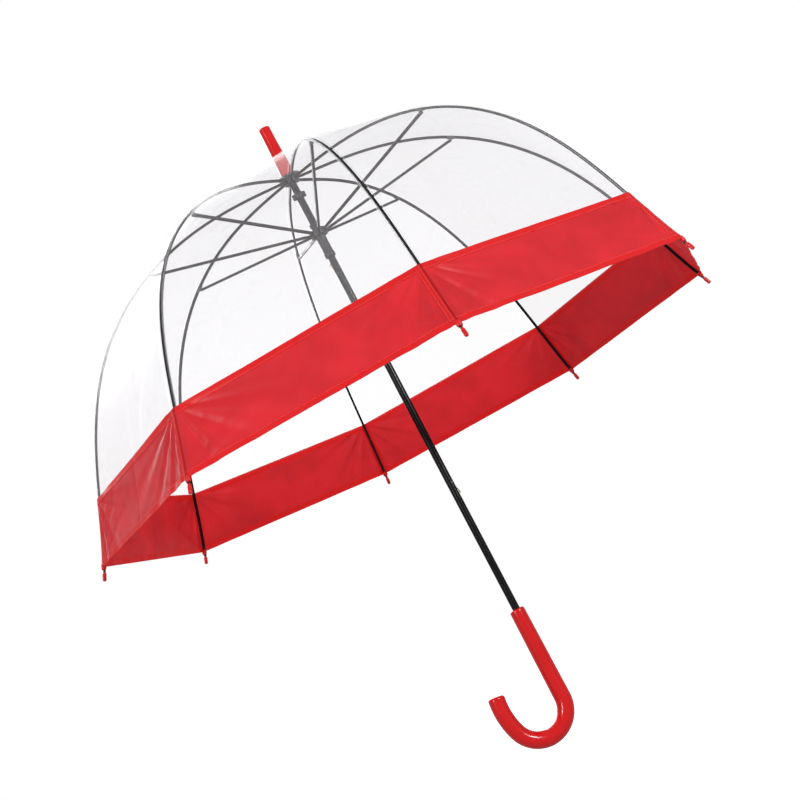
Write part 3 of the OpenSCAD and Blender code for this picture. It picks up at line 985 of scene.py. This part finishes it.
class UMBRELLA_OT_border(bpy.types.Operator):
    """Sews a coloured border panel with folded hems, an overlap beside the rib and stitches"""
    bl_idname = "umbrella.border"
    bl_label = "Border"

    rows: IntProperty(name="Rows", description="Rows of points between the hems", default=34, min=8)
    columns: IntProperty(name="Columns", description="Columns of points on each side", default=70, min=12)

    def raised(self, share, across):
        """1 where the sheet is doubled: in the two hems and in the overlap on one side of the rib."""
        canopy = canopy_settings()
        down = (share - border_start_share()) * canopy.rib_length
        in_hem = (down < canopy.hem_width) | (down > canopy.border_width - canopy.hem_width)
        in_seam = (across < 0.0004) & (across > -canopy.seam_width)
        return (in_hem | in_seam).astype(float), (in_hem & in_seam).astype(float)

    def stitches(self, rib):
        canopy = canopy_settings()
        start = border_start_share()
        stride = canopy.stitch_length + canopy.stitch_gap
        thread_radius = 0.00021
        edge_gap = 0.0014
        second_row = -0.0022
        inset = canopy.hem_width - edge_gap
        lines = []
        for down in (inset, canopy.border_width - inset):
            share = start + down / canopy.rib_length
            half = float(half_width(share)) - 0.0004
            count = int(half / stride)
            for i in range(-count, count):
                across = (i + 0.1) * stride
                lines.append(((share, across), (share, across + canopy.stitch_length)))
        for across in (-canopy.seam_width + edge_gap, second_row):
            count = int((canopy.border_width - 0.003) / stride)
            for i in range(count):
                begin = start + (0.0015 + i * stride) / canopy.rib_length
                lines.append(((begin, across), (begin + canopy.stitch_length / canopy.rib_length, across)))
        points, faces = [], []
        parts = np.linspace(0, 1, 5)
        first = np.array([line[0] for line in lines])
        last = np.array([line[1] for line in lines])
        share = first[:, :1] + (last - first)[:, :1] * parts
        across = first[:, 1:] + (last - first)[:, 1:] * parts
        surface = panel_point(rib, share, across)
        normal = panel_normal(rib, share, across)
        lift = canopy.border_thickness + canopy.hem_rise
        surface = surface + normal * lift
        for i in range(len(lines)):
            rings, quads = stitch(surface[i], normal[i, 2], thread_radius)
            faces += [tuple(v + len(points) for v in quad) for quad in quads]
            points += rings
        return new_object(f"stitching_{rib + 1}", points, faces)

    def execute(self, context):
        canopy = canopy_settings()
        start = border_start_share()
        length = canopy.rib_length
        hem = canopy.hem_width
        step = 0.00012
        under_gap = 0.00005
        downs = [0, hem * 0.33, hem * 0.66, hem - step, hem + step]
        middle = np.linspace(hem, canopy.border_width - hem, self.rows)[1:-1]
        downs = downs + list(middle) + [canopy.border_width - d for d in downs[::-1]]
        shares = start + np.array(downs) / length
        seam = canopy.seam_width
        near = [0.0003, 0.0005, 0.001, 0.0014, 0.0017, 0.003, 0.005, seam - step, seam + step]
        for rib in range(RIBS):
            share, across = grid(shares, near, self.columns)
            surface = panel_point(rib, share, across)
            normal = panel_normal(rib, share, across)
            doubled, crossed = self.raised(share, across)
            pressed = 1 - fade((np.abs(across) - 0.001) / 0.0006)
            rise = canopy.border_thickness + canopy.hem_rise * (doubled + 0.5 * crossed)
            outer = surface + normal * rise[..., None]
            inner = surface + normal * under_gap
            uv = np.stack([across, share * length], axis=-1)
            masks = {"doubled": doubled, "pressed": pressed}
            piece = sheet_shell(f"border_panel_{rib + 1}", outer, inner, masks, uv)
            follow_rib(piece, rib)
            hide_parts(f"border_{rib + 1}")
            finish_with(piece, "border sheet")
            thread = self.stitches(rib)
            smooth(thread, 60)
            follow_rib(thread, rib)
            finish_with(thread, "thread")
        return {"FINISHED"}


# ---------------------------------------------------------------- stage

def softbox(name, place, aim, size, power):
    """A rectangular light that shines at a point and isn't seen itself."""
    bpy.ops.object.light_add(type="AREA", location=place)
    lamp = bpy.context.active_object
    lamp.name = name
    lamp.data.shape = "RECTANGLE"
    lamp.data.size, lamp.data.size_y = size
    lamp.data.energy = power
    lamp.visible_camera = False
    direction = Vector(aim) - Vector(place)
    lamp.rotation_euler = direction.to_track_quat("-Z", "Y").to_euler()


class UMBRELLA_OT_stage(bpy.types.Operator):
    """Sets up the pale floor and surroundings, the soft lights and the camera"""
    bl_idname = "umbrella.stage"
    bl_label = "Stage"

    def execute(self, context):
        stage = context.scene.umbrella_stage
        floor_gap = 0.0005
        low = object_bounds()[0]
        bpy.ops.object.select_all(action="DESELECT")
        bpy.ops.mesh.primitive_circle_add(
            vertices=96, radius=stage.floor_size / 2, fill_type="NGON",
            location=(0, 0, low.z - floor_gap))
        floor = context.active_object
        floor.name = "floor"
        pale, shader = new_material("floor", (0.35, 0.35, 0.35, 1), 0.8, specular=0)
        shader.inputs["Emission Color"].default_value = (1, 1, 1, 1)
        shader.inputs["Emission Strength"].default_value = 0.9
        below = add_node(pale, "ShaderNodeNewGeometry")
        unseen = add_node(pale, "ShaderNodeBsdfTransparent")
        one_sided = add_node(pale, "ShaderNodeMixShader")
        link(pale, below.outputs["Backfacing"], one_sided.inputs["Fac"])
        link(pale, shader.outputs["BSDF"], one_sided.inputs[1])
        link(pale, unseen.outputs["BSDF"], one_sided.inputs[2])
        link(pale, one_sided.outputs["Shader"], pale.node_tree.nodes["Material Output"].inputs["Surface"])
        floor.data.materials.append(pale)
        floor.visible_diffuse = False
        floor.visible_glossy = False
        bpy.ops.mesh.primitive_uv_sphere_add(segments=64, ring_count=32, radius=stage.floor_size / 2)
        backdrop = context.active_object
        backdrop.name = "backdrop"
        glow = bpy.data.materials.new("backdrop")
        glow.use_nodes = True
        tree = glow.node_tree
        tree.nodes.remove(tree.nodes["Principled BSDF"])
        emission = tree.nodes.new("ShaderNodeEmission")
        emission.inputs["Strength"].default_value = 1.0
        tree.links.new(emission.outputs["Emission"], tree.nodes["Material Output"].inputs["Surface"])
        backdrop.data.materials.append(glow)
        backdrop.visible_diffuse = False
        backdrop.visible_glossy = False
        backdrop.visible_shadow = False
        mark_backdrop(floor, backdrop)
        world = context.scene.world or bpy.data.worlds.new("surroundings")
        context.scene.world = world
        world.use_nodes = True
        background = world.node_tree.nodes["Background"]
        background.inputs["Color"].default_value = (1, 1, 1, 1)
        background.inputs["Strength"].default_value = stage.daylight
        for light in LIGHTS:
            softbox(*light)
        bpy.ops.object.camera_add(location=stage.location, rotation=stage.rotation)
        camera = context.active_object
        camera.data.lens = stage.lens
        camera.data.sensor_width = 36
        camera.data.clip_start = 0.05
        camera.data.clip_end = 60
        context.scene.camera = camera
        context.scene.view_settings.view_transform = "Standard"
        return {"FINISHED"}


class UMBRELLA_PT_panel(bpy.types.Panel):
    """Lists the pieces of the umbrella"""
    bl_idname = "UMBRELLA_PT_panel"
    bl_label = "Dome umbrella"
    bl_space_type = "VIEW_3D"
    bl_region_type = "UI"
    bl_category = "Umbrella"

    def draw(self, context):
        layout = self.layout
        for operator in OPERATORS:
            layout.operator(operator.bl_idname, text=operator.bl_label)
        for name in SETTINGS:
            settings = getattr(context.scene, name)
            box = layout.box()
            for field in settings.bl_rna.properties.keys():
                if field not in ("rna_type", "name"):
                    box.prop(settings, field)


OPERATORS = (
    UMBRELLA_OT_metalwork, UMBRELLA_OT_fittings, UMBRELLA_OT_handle, UMBRELLA_OT_ferrule,
    UMBRELLA_OT_tips, UMBRELLA_OT_film, UMBRELLA_OT_border, UMBRELLA_OT_stage,
)
SETTINGS = {
    "umbrella_canopy": CanopySettings,
    "umbrella_handle": HandleSettings,
    "umbrella_stage": StageSettings,
}


def register():
    for cls in tuple(SETTINGS.values()) + OPERATORS + (UMBRELLA_PT_panel,):
        bpy.utils.register_class(cls)
    for name, group in SETTINGS.items():
        setattr(bpy.types.Scene, name, PointerProperty(type=group))


def unregister():
    for name in SETTINGS:
        delattr(bpy.types.Scene, name)
    for cls in (UMBRELLA_PT_panel,) + OPERATORS[::-1] + tuple(SETTINGS.values())[::-1]:
        bpy.utils.unregister_class(cls)


def main():
    register()
    bpy.ops.umbrella.metalwork()
    bpy.ops.umbrella.fittings()
    bpy.ops.umbrella.handle()
    bpy.ops.umbrella.ferrule()
    bpy.ops.umbrella.tips()
    bpy.ops.umbrella.film()
    bpy.ops.umbrella.border()
    bpy.ops.umbrella.stage()


if __name__ == "__main__":
    main()
